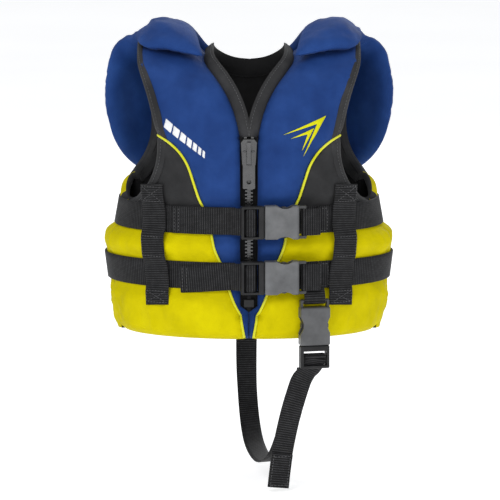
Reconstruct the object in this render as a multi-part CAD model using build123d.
from build123d import *
import math
import os

# Infant life jacket with a head-support collar and a crotch strap, in millimetres.
# +Z is up, the front faces -Y and the wearer's left is +X.
# The origin is the point between the wearer's shoulders, on the inner shoulder line.
os.makedirs("parts", exist_ok=True)

# --- shell -------------------------------------------------------------------
HALF_WIDTH = 134.0  # outer half width of the torso tube
HALF_DEPTH = 95.0  # outer half depth of the torso tube
ARCH_Z = -75.0  # where the sides start to curve in over the shoulders
SHOULDER_TOP = 20.0  # outer height of the shoulder straps
FOAM = 28.0  # thickness of the front and back, with their cloth
SHOULDER_FOAM = 20.0  # thickness over the shoulders
CLOTH = 1.2
HEM_Z = -252.0
FLOOR_Z = -300.0  # below every cut of the torso
CEILING_Z = 60.0  # above every cut of the torso
SIDE_SEAM_Y = 22.0  # the side gussets lie between these seams
SHOULDER_SEAM_Z = -100.0  # above this the front and back meet on the shoulder
GUSSET = 6.0  # neoprene side gusset
GUSSET_TOP_Z = -124.0
FAR = 220.0  # longer than any cut through the jacket

NECK_HALF = 45.0  # half width of the neck opening on the shoulder
STRAP_OUTER = 108.0  # outer edge of the shoulder strap
ZIP_HALF = 8.5  # half width of the gap that the zip fills
NECK_LOW_Z = -62.0
ZIP_END_Z = -226.0
CENTRE_GAP = 0.4
COLOUR_SPLIT_Z = -136.0  # dark chest panels above, bright waist panels below
BACK_SPLIT_Z = -113.0  # the same seam on the back

# --- webbing -----------------------------------------------------------------
BELT_WIDTH = 25.4
BELT = 2.0  # thickness
UPPER_BELT_Z = -140.0
LOWER_BELT_Z = -192.0
KEEPER_WIDTH = 19.0
STRAP_WIDTH = 20.0
STRAP = 1.6

# --- zip ---------------------------------------------------------------------
TAPE_Y = -84.0
TAPE_EDGE = 1.7  # the tapes stop this far from the middle, and the teeth bridge the gap
TOOTH_PITCH = 3.4
TEETH_TOP_Z = -72.0
TEETH_COUNT = 41
SLIDER_TOP_Z = -64.0
SLIDER_LENGTH = 25.0
PIN_Y = -91.0
PIN_Z = -76.0

# --- collar ------------------------------------------------------------------
COLLAR = 23.0  # outer surface of the collar above the shell
COLLAR_HINGE_Y = 35.5
CAP_FRONT_Y = -35.0


def save(shape, name):
    export_step(Compound(shape.solids()), f"parts/{name}.step")


def block(x, y, z):
    """Box from three (low, high) pairs."""
    size = [high - low for low, high in (x, y, z)]
    centre = [(low + high) / 2 for low, high in (x, y, z)]
    return Pos(*centre) * Box(*size)


def mirrored(shape, side):
    return shape if side > 0 else mirror(shape, about=Plane.YZ)


# --- the torso surface -------------------------------------------------------
def torso(depth):
    """Everything inside the surface that lies `depth` under the outer cloth."""
    rise = SHOULDER_TOP - ARCH_Z - depth * (SHOULDER_FOAM / FOAM if depth > 0 else 1.0)
    ellipse = Ellipse(HALF_WIDTH - depth, HALF_DEPTH - depth)
    tube = Pos(0, 0, FLOOR_Z) * extrude(ellipse, CEILING_Z - FLOOR_Z)
    straight = Pos(0, (FLOOR_Z + ARCH_Z) / 2) * Rectangle(2 * (HALF_DEPTH - depth), ARCH_Z - FLOOR_Z)
    dome = Pos(0, ARCH_Z) * Ellipse(HALF_DEPTH - depth, rise)
    return tube & extrude(Plane.YZ * (straight + dome), FAR, both=True)


def layer(outer, inner):
    return torso(outer) - torso(inner)


def outline(lines):
    return make_face(Curve() + lines)


def forward(face):
    """Cut through the front half along -Y."""
    return extrude(Plane.XZ * face, FAR)


def backward(face):
    return extrude(Plane.XZ * face, -FAR)


# --- outlines of one side, in (x, z) -----------------------------------------
FRONT_NECK = [ThreePointArc((ZIP_HALF, NECK_LOW_Z), (21, -21), (NECK_HALF, 8))]
FRONT_ARMHOLE = [
    ThreePointArc((STRAP_OUTER, 3), (97, -28), (90, -62)),
    ThreePointArc((90, -62), (101, -108), (140, -132)),
]
BACK_NECK = [ThreePointArc((0, -12), (27, -7), (NECK_HALF, 8))]
BACK_ARMHOLE = [
    ThreePointArc((STRAP_OUTER, 3), (100, -28), (97, -60)),
    ThreePointArc((97, -60), (104, -92), (140, -112)),
]
SHOULDER_EDGES = [
    Line((NECK_HALF, 8), (NECK_HALF, CEILING_Z)),
    Line((NECK_HALF, CEILING_Z), (STRAP_OUTER, CEILING_Z)),
    Line((STRAP_OUTER, CEILING_Z), (STRAP_OUTER, 3)),
]
FRONT = outline(
    FRONT_NECK
    + SHOULDER_EDGES
    + FRONT_ARMHOLE
    + [
        Polyline((140, -132), (140, HEM_Z), (CENTRE_GAP, HEM_Z), (CENTRE_GAP, ZIP_END_Z - 10)),
        Polyline((CENTRE_GAP, ZIP_END_Z - 10), (ZIP_HALF, ZIP_END_Z), (ZIP_HALF, NECK_LOW_Z)),
    ]
)
BACK = outline(
    BACK_NECK + SHOULDER_EDGES + BACK_ARMHOLE + [Polyline((140, -112), (140, HEM_Z), (0, HEM_Z), (0, -12))]
)
BACK_BOTH = BACK + mirror(BACK, about=Plane.YZ)
PIPING_PATH = [
    ThreePointArc((89, -59), (68, -72), (54, -98)),
    Line((54, -98), (18.5, -207)),
    Polyline((18.5, -207), (7.5, -233), (4.5, HEM_Z)),
]
CENTRE_PANEL = outline(
    PIPING_PATH
    + [
        Polyline((4.5, HEM_Z), (4.5, FLOOR_Z), (0, FLOOR_Z), (0, CEILING_Z)),
        Polyline((0, CEILING_Z), (150, CEILING_Z), (89, -59)),
    ]
)


def front_space(inset=0.0):
    """Where the front half lies: ahead of the side seam, and of the seam on the shoulder."""
    side = block((-FAR, FAR), (-FAR, -SIDE_SEAM_Y - inset), (FLOOR_Z, CEILING_Z))
    shoulder = block((-FAR, FAR), (-FAR, -inset), (SHOULDER_SEAM_Z + inset, CEILING_Z))
    return side + shoulder


def back_space(inset=0.0):
    return mirror(front_space(inset), about=Plane.XZ)


# --- foam, linings and outer panels ------------------------------------------
def shell_piece(outer, inner, cut, space):
    return layer(outer, inner) & cut & space


def inset_face(face):
    return offset(face, -CLOTH, kind=Kind.INTERSECTION)


def make_front(side, name):
    foam_right = shell_piece(CLOTH, FOAM - CLOTH, forward(inset_face(FRONT)), front_space(CLOTH))
    tray_right = shell_piece(CLOTH, FOAM, forward(FRONT), front_space()) - foam_right
    skin_right = shell_piece(0, CLOTH, forward(FRONT), front_space())
    centre = forward(CENTRE_PANEL)
    above = block((-FAR, FAR), (-FAR, FAR), (COLOUR_SPLIT_Z, CEILING_Z))
    outside = skin_right - centre
    save(mirrored(foam_right, side), f"front_foam_{name}")
    save(mirrored(tray_right, side), f"front_lining_{name}")
    save(mirrored(skin_right & centre, side), f"chest_centre_panel_{name}")
    save(mirrored(outside & above, side), f"chest_side_panel_{name}")
    save(mirrored(outside - above, side), f"waist_panel_{name}")


def make_back():
    foam = shell_piece(CLOTH, FOAM - CLOTH, backward(inset_face(BACK_BOTH)), back_space(CLOTH))
    tray = shell_piece(CLOTH, FOAM, backward(BACK_BOTH), back_space()) - foam
    skin = shell_piece(0, CLOTH, backward(BACK_BOTH), back_space())
    above = block((-FAR, FAR), (-FAR, FAR), (BACK_SPLIT_Z, CEILING_Z))
    save(foam, "back_foam")
    save(tray, "back_lining")
    save(skin & above, "back_yoke_panel")
    save(skin - above, "back_waist_panel")


def make_gusset(side, name):
    space = block((0, FAR), (-SIDE_SEAM_Y, SIDE_SEAM_Y), (HEM_Z, GUSSET_TOP_Z))
    save(mirrored(layer(0, GUSSET) & space, side), f"side_gusset_{name}")


def edge_binding(face, lines, cut, space):
    """U-shaped tape, one cloth thick, folded over the edge of the shell along `lines`."""
    band = trace(Curve() + lines, line_width=13)
    rim = trace(Curve() + lines, line_width=2 * CLOTH)
    grown = cut(face) + cut(rim)
    around = layer(-CLOTH, FOAM + CLOTH) & cut(band) & grown & space
    return around - (layer(0, FOAM) & cut(face) & space)


def make_bindings(webbing):
    front_low = block((-FAR, FAR), (-FAR, 0), (FLOOR_Z, CEILING_Z))
    back_low = mirror(front_low, about=Plane.XZ)
    strap_top = [Line((NECK_HALF, 8), (NECK_HALF, CEILING_Z))]
    strap_side = [Line((STRAP_OUTER, 3), (STRAP_OUTER, CEILING_Z))]
    front = edge_binding(FRONT, FRONT_NECK + strap_top, forward, front_low)
    back = edge_binding(BACK_BOTH, BACK_NECK + strap_top, backward, back_low)
    back &= block((0, FAR), (-FAR, FAR), (FLOOR_Z, CEILING_Z))
    lengths = [mirrored(length, side) for length in (front, back) for side, _ in SIDES]
    save(Compound([solid for length in lengths for solid in length.solids()]), "neck_binding")
    arm = edge_binding(FRONT, FRONT_ARMHOLE + strap_side, forward, front_space())
    arm += edge_binding(BACK, BACK_ARMHOLE + strap_side, backward, back_space())
    for side, name in SIDES:
        save(mirrored(arm, side) - webbing, f"armhole_binding_{name}")
    return arm


# --- belts, keepers and piping -----------------------------------------------
BELT_LEFT_END = -14.0  # the belt's end behind the left plug
BELT_RIGHT_END = 66.0  # where the belt carries the socket's loop
KEEPER_TOP_X = 91.0
KEEPER_FOOT_X = 83.0


def belt(z):
    """One length of webbing round the jacket, open at the front between the buckle halves."""
    ring = layer(-BELT, 0) & block((-FAR, FAR), (-FAR, FAR), (z - BELT_WIDTH / 2, z + BELT_WIDTH / 2))
    return ring - block((BELT_LEFT_END, BELT_RIGHT_END), (-FAR, 0), (FLOOR_Z, CEILING_Z))


def make_piping(side, name, webbing, binding):
    band = trace(Curve() + PIPING_PATH, line_width=2.4)
    cord = mirrored(layer(-1.6, 0) & forward(band) & forward(FRONT), side)
    save(cord - webbing - mirrored(binding, side), f"piping_{name}")


def keeper(side):
    """Vertical webbing sewn down over both belts, which pass through it."""
    half = KEEPER_WIDTH / 2
    top = [(KEEPER_TOP_X - half, -112), (KEEPER_TOP_X + half - 4, -108)]
    foot = [(KEEPER_FOOT_X + half, -221), (KEEPER_FOOT_X - half, -221)]
    face = make_face(Polyline(*top, *foot, close=True))
    return mirrored(layer(-2 * BELT, 0) & forward(face), side)


# --- side-release buckles ----------------------------------------------------
# Built lying along x: the socket's mouth is the plane x = 0, the plug is at x < 0,
# the wearer is at +y and the width is along z.
BUCKLE_WALL = 1.9
BAR_RADIUS = 1.9
RELEASE = 28.0  # travel that frees the plug
LATCH_X = 17.0  # where the prongs catch


def rounded(x, y, z, radius):
    return fillet(block(x, y, z).edges(), radius)


def buckle_socket(half, thick, length):
    body = rounded((0, length), (-thick / 2, thick / 2), (-half, half), 1.5)
    bar_x = length + 5.5
    for z_side in (-1, 1):
        rail = block((length - 6, bar_x + 1), (-2.6, 2.6), (-1.2, 1.2))
        body += Pos(0, 0, z_side * (half - 1.6)) * rail
        body -= Pos(LATCH_X + 2, 0, z_side * (half + 9.5)) * Rot(90, 0, 0) * Cylinder(12.2, thick + 2)
        window = block((10, 27), (2.4 - thick / 2, thick / 2 - 2.4), (0, half + 2))
        body -= window if z_side > 0 else mirror(window, about=Plane.XY)
    body += Pos(bar_x, 0, 0) * Cylinder(BAR_RADIUS, 2 * half - 2)
    pocket = block((-1, length - 3), (-thick / 2 + BUCKLE_WALL, thick / 2 - BUCKLE_WALL), (-half + 1.9, half - 1.9))
    return body - pocket


def buckle_plug(half, thick, slot_half):
    frame = rounded((-22, -0.3), (-thick / 2 + 1, thick / 2 - 1), (-half + 0.3, half - 0.3), 1.4)
    frame -= block((-19.5, -15), (-thick, thick), (-slot_half, slot_half))
    frame -= block((-11, -5.5), (-thick, thick), (-slot_half, slot_half))
    frame -= block((-15.1, -10.9), (-thick, -thick / 2 + 2.6), (-slot_half, slot_half))
    tongue = rounded((-3, 25), (-2.2, 2.2), (-2.6, 2.6), 1.0)
    root = rounded((-3, 3), (-3.4, 3.4), (-half + 3.4, half - 3.4), 1.0)
    return frame + tongue + root


def plug_webbing(thick, width, start):
    """Webbing from `start`, under the plug's outer bar, over its middle bar and down again."""
    under = thick / 2 + 0.2
    over = -thick / 2 + 1.7
    line = Polyline(start, (-19, under), (-17.2, under - 1.6), (-16.2, over), (-9.9, over), (-8.7, under - 3))
    return extrude(trace(Curve() + [line], line_width=STRAP), width / 2, both=True)


def buckle_prongs(half):
    """Two spring arms whose heads catch in the socket's side windows."""
    reach = half - 2.6
    arm = make_face(
        Polyline(
            (3.1, reach - 5.5),
            (14, reach - 3.2),
            (26, reach - 3.2),
            (26.5, reach - 1.2),
            (19, reach + 1.6),
            (16.5, reach + 1.4),
            (15.5, reach - 0.6),
            (3.1, reach - 2.4),
            close=True,
        )
    )
    prong = extrude(Plane.XZ * arm, 2.4, both=True)
    return prong + mirror(prong, about=Plane.XY)


def buckle_loop(length, width, reach, rear):
    """Webbing round the socket's bar, both ends sewn to the belt `rear` behind the buckle."""
    bar_x = length + 5.5
    wrap = BAR_RADIUS + 0.3 + STRAP / 2
    lines = [
        Polyline((bar_x + reach, rear), (bar_x + 7, wrap), (bar_x, wrap)),
        ThreePointArc((bar_x, wrap), (bar_x - wrap, 0), (bar_x, -wrap)),
        Polyline((bar_x, -wrap), (bar_x + 7, -wrap), (bar_x + reach, rear - STRAP)),
    ]
    return extrude(trace(Curve() + lines, line_width=STRAP), width / 2, both=True)


BELT_BUCKLE = dict(half=15.75, thick=12.0, length=32.3, slot=13.2)
LEG_BUCKLE = dict(half=14.2, thick=11.0, length=36.0, slot=11.2)
BUCKLE_TURN = 7.0  # the belt buckles lie along the chest's curve
LEG_TURN = 15.0
MOUTH_X = 14.3
MOUTH_Y = -103.2
LEG_X = 61.0
LEG_Y = -94.6
LEG_MOUTH_Z = -256.4


def belt_place(z):
    return Pos(MOUTH_X, MOUTH_Y, z) * Rot(0, 0, BUCKLE_TURN)


LEG_PLACE = Pos(LEG_X, LEG_Y, LEG_MOUTH_Z) * Rot(0, 0, LEG_TURN) * Rot(0, -90, 0)


def adjuster_tail(z, far_x, drop):
    """The plug's own end of the webbing, folded back over the belt as far as far_x."""
    half = BELT_WIDTH / 2
    face = make_face(
        Polyline((-8, z - half), (-8, z + half), (far_x, z + half - drop), (far_x, z - half - drop), close=True)
    )
    strip = layer(-2 * BELT - 0.5, -BELT - 0.5) & forward(face)
    return strip + belt_place(z) * plug_webbing(BELT_BUCKLE["thick"], BELT_WIDTH, (-23.5, 7.2))


def make_belt_buckle(name, z, belts, tail_x, tail_drop):
    place = belt_place(z)
    size = BELT_BUCKLE
    socket = place * buckle_socket(size["half"], size["thick"], size["length"])
    save(socket, f"{name}_socket")
    plug = place * buckle_plug(size["half"], size["thick"], size["slot"])
    save(plug, f"{name}_plug")
    save(place * buckle_prongs(size["half"]), f"{name}_prongs")
    loop = place * buckle_loop(size["length"], BELT_WIDTH - 0.6, 20, 5.2)
    save(loop - torso(0) - belts, f"{name}_socket_loop")
    save(adjuster_tail(z, tail_x, tail_drop) - plug - torso(-BELT - 0.4), f"{name}_tail")
    return socket + loop


# --- zip ---------------------------------------------------------------------
def make_zip():
    thickness = (TAPE_Y - 0.5, TAPE_Y + 0.5)
    half_tape = block((TAPE_EDGE, ZIP_HALF), thickness, (ZIP_END_Z, NECK_LOW_Z))
    half_tape += block((TAPE_EDGE, ZIP_HALF - 2), thickness, (NECK_LOW_Z, NECK_LOW_Z + 5))
    tooth = block((0.1 - TAPE_EDGE, 3.6), (TAPE_Y - 2, TAPE_Y + 2), (-0.75, 0.75))
    gap = block((TAPE_EDGE, 4), thickness, (-1, 1))
    for side, name in SIDES:
        start = TEETH_TOP_Z - (TOOTH_PITCH / 2 if side > 0 else 0)
        heights = [start - row * TOOTH_PITCH for row in range(TEETH_COUNT)]
        row = [Pos(0, 0, z) * (tooth - gap) for z in heights]
        save(mirrored(half_tape, side), f"zip_tape_{name}")
        save(mirrored(Part() + row, side), f"zip_teeth_{name}")
    stop = block((2.0, 4.6), (TAPE_Y - 2.2, TAPE_Y - 0.5), (-63.4, -60.2))
    save(stop + mirror(stop, about=Plane.YZ), "zip_top_stops")
    box = rounded((-5.2, 5.2), (TAPE_Y - 3.4, TAPE_Y - 0.5), (-222.5, -214.6), 0.8)
    save(box, "zip_retainer_box")


def slider():
    top = SLIDER_TOP_Z
    foot = top - SLIDER_LENGTH
    right = [(5, top), (7.4, top - 3), (6.2, foot + 1), (4.5, foot)]
    left = [(-x, z) for x, z in reversed(right)]
    outer = make_face(Polyline(*right, *left, close=True))
    front_plate = Pos(0, TAPE_Y - 3.4, 0) * extrude(Plane.XZ * outer, 1.8)
    back_plate = Pos(0, TAPE_Y + 4.2, 0) * extrude(Plane.XZ * outer, 1.6)
    post = block((-1.4, 1.4), (TAPE_Y - 4, TAPE_Y + 3), (top - 5.5, top - 1.5))
    flange = block((5.2, 6.2), (TAPE_Y - 4, TAPE_Y - 0.9), (foot + 1, top - 6))
    body = front_plate + back_plate + post + flange + mirror(flange, about=Plane.YZ)
    leg = block((-1.8, 1.8), (-94.6, TAPE_Y - 4), (-86.5, -84))
    bridge = leg + Pos(0, 0, 17.5) * leg + block((-1.8, 1.8), (-95.2, -93.2), (-86.5, -66.5))
    return body + bridge


def pull_tab():
    pin = Pos(0, PIN_Y, PIN_Z) * Rot(0, 90, 0) * Cylinder(1.2, 10)
    plate = block((-5.7, 5.7), (-92.1, -89.9), (-110, -74.8))
    plate = fillet(plate.edges().filter_by(Axis.Y), 1.1)
    plate -= block((-2.5, 2.5), (-94, -88), (PIN_Z - 11.8, PIN_Z - 0.4))
    plate -= block((-2.6, 2.6), (-94, -88), (PIN_Z + 0.4, PIN_Z + 3))
    eye = Pos(0, 0, -103.5) * Rot(90, 0, 0) * Cylinder(2.2, 300)
    return (plate + pin) - eye


# --- collar ------------------------------------------------------------------
COLLAR_EDGE = [
    ThreePointArc((46, 44), (101, 36), (134, -4)),
    ThreePointArc((134, -4), (128, -70), (97, -106)),
    ThreePointArc((97, -106), (50, -118), (0, -120)),
]
COLLAR_FACE = outline(
    COLLAR_EDGE + [Line((0, -120), (0, -17)), ThreePointArc((0, -17), (28, -12), (46, 4)), Line((46, 4), (46, 44))]
)


def make_collar():
    right = layer(-COLLAR, -CLOTH - 0.4) & extrude(Plane.XZ * COLLAR_FACE, FAR, both=True)
    cap = right & block((0, FAR), (CAP_FRONT_Y, COLLAR_HINGE_Y), (-8, CEILING_Z))
    cap = cap.solids().sort_by(SortBy.VOLUME)[-1]
    for side, name in SIDES:
        save(mirrored(cap, side), f"shoulder_cap_{name}")
    both = COLLAR_FACE + mirror(COLLAR_FACE, about=Plane.YZ)
    inner_face = offset(both, -CLOTH, kind=Kind.INTERSECTION)
    behind = block((-FAR, FAR), (COLLAR_HINGE_Y + 0.4, FAR), (FLOOR_Z, CEILING_Z))
    deeper = block((-FAR, FAR), (COLLAR_HINGE_Y + 0.4 + CLOTH, FAR), (FLOOR_Z, CEILING_Z))
    whole = layer(-COLLAR, -2.2) & backward(both) & behind
    foam = layer(-COLLAR + CLOTH, -2.2 - CLOTH) & backward(inner_face) & deeper
    save(foam, "head_support_foam")
    save(whole - foam, "head_support_cover")
    rear = HALF_DEPTH + COLLAR
    arc = [
        Line((-52, rear - 8), (-40, rear - 1.5)),
        ThreePointArc((-40, rear - 1.5), (0, rear + 11), (40, rear - 1.5)),
        Line((40, rear - 1.5), (52, rear - 8)),
    ]
    handle = Pos(0, 0, -92) * extrude(trace(Curve() + arc, line_width=STRAP), BELT_WIDTH)
    save(handle - torso(-COLLAR), "grab_handle")


# --- crotch strap ------------------------------------------------------------
# The route of the strap's middle line, from the back hem to the plug.
STRAP_ROUTE = [
    (-2, 96, -252.6),
    (-3, 94.5, -300),
    (-1, 84, -343),
    (3, 54, -370),
    (9, 12, -379),
    (17, -30, -380),
    (27, -65, -367),
    (36, -80, -339),
    (43.5, -83.5, -309),
    (50, -83, -279.6),
]
STRAP_TWIST = math.radians(18)  # shares the strap's natural twist between its two ends
TAIL_TOP = (49, -89.1, -279.9)
TAIL_LEAN = 11.0
TAIL_LENGTH = 115.0
HEM = 33.0  # the tail's end is folded up and sewn over this length


def corner_radius(before, corner, after):
    """The largest arc that fits: 0.45 of the shorter run over the tangent of half the turn."""
    first = Vector(*corner) - Vector(*before)
    second = Vector(*after) - Vector(*corner)
    half_turn = math.radians(first.get_angle(second)) / 2
    return 0.45 * min(first.length, second.length) / math.tan(half_turn)


def make_strap():
    radii = [corner_radius(*STRAP_ROUTE[i - 1 : i + 2]) for i in range(1, len(STRAP_ROUTE) - 1)]
    path = FilletPolyline(*STRAP_ROUTE, radius=radii)
    across = (math.cos(STRAP_TWIST), math.sin(STRAP_TWIST), 0)
    start = Plane(origin=STRAP_ROUTE[0], x_dir=across, z_dir=path % 0)
    ribbon = sweep(start * Rectangle(STRAP_WIDTH, STRAP), path=path.wire())
    print("strap radii", [round(radius) for radius in radii])
    print("strap length", round(path.length, 1))
    print("strap volume", round(ribbon.volume))
    print("strap section x length", round(STRAP_WIDTH * STRAP * path.length))
    save(ribbon, "leg_strap")
    place = Pos(*TAIL_TOP) * Rot(0, TAIL_LEAN, 0)
    across = (-STRAP_WIDTH / 2, STRAP_WIDTH / 2)
    wrap = LEG_PLACE * plug_webbing(LEG_BUCKLE["thick"], STRAP_WIDTH, (-24, 6.6))
    tail = block(across, (-STRAP / 2, STRAP / 2), (-TAIL_LENGTH, 0))
    hem = block(across, (-1.5 * STRAP, -STRAP / 2), (-TAIL_LENGTH, -TAIL_LENGTH + HEM))
    save(place * tail + wrap, "leg_strap_tail")
    save(place * hem, "leg_strap_tail_hem")
    patch = block((-12, 8), (0, FAR), (HEM_Z, -224))
    save(layer(-STRAP, 0) & patch, "leg_strap_anchor")


SIDES = ((-1, "left"), (1, "right"))


def make_leg_buckle(neighbours):
    size = LEG_BUCKLE
    save(LEG_PLACE * buckle_socket(size["half"], size["thick"], size["length"]), "leg_socket")
    save(LEG_PLACE * buckle_plug(size["half"], size["thick"], size["slot"]), "leg_plug")
    save(LEG_PLACE * buckle_prongs(size["half"]), "leg_prongs")
    loop = LEG_PLACE * buckle_loop(size["length"], STRAP_WIDTH, 10.4, 4.2)
    save(loop - torso(0) - neighbours, "leg_socket_loop")


def main():
    for side, name in SIDES:
        make_front(side, name)
        make_gusset(side, name)
    make_back()
    upper = belt(UPPER_BELT_Z)
    lower = belt(LOWER_BELT_Z)
    belts = upper + lower
    save(upper, "upper_belt")
    save(lower, "lower_belt")
    keepers = [keeper(side) for side, _ in SIDES]
    webbing = belts + keepers
    binding = make_bindings(webbing)
    for strap, (side, name) in zip(keepers, SIDES):
        save(strap - belts, f"belt_keeper_{name}")
        make_piping(side, name, webbing, binding)
    make_belt_buckle("upper", UPPER_BELT_Z, belts, -72, 0)
    lower_end = make_belt_buckle("lower", LOWER_BELT_Z, belts, -64, 4)
    make_leg_buckle(belts + lower_end)
    make_zip()
    save(slider(), "zip_slider")
    save(pull_tab(), "zip_pull")
    make_collar()
    make_strap()


main()
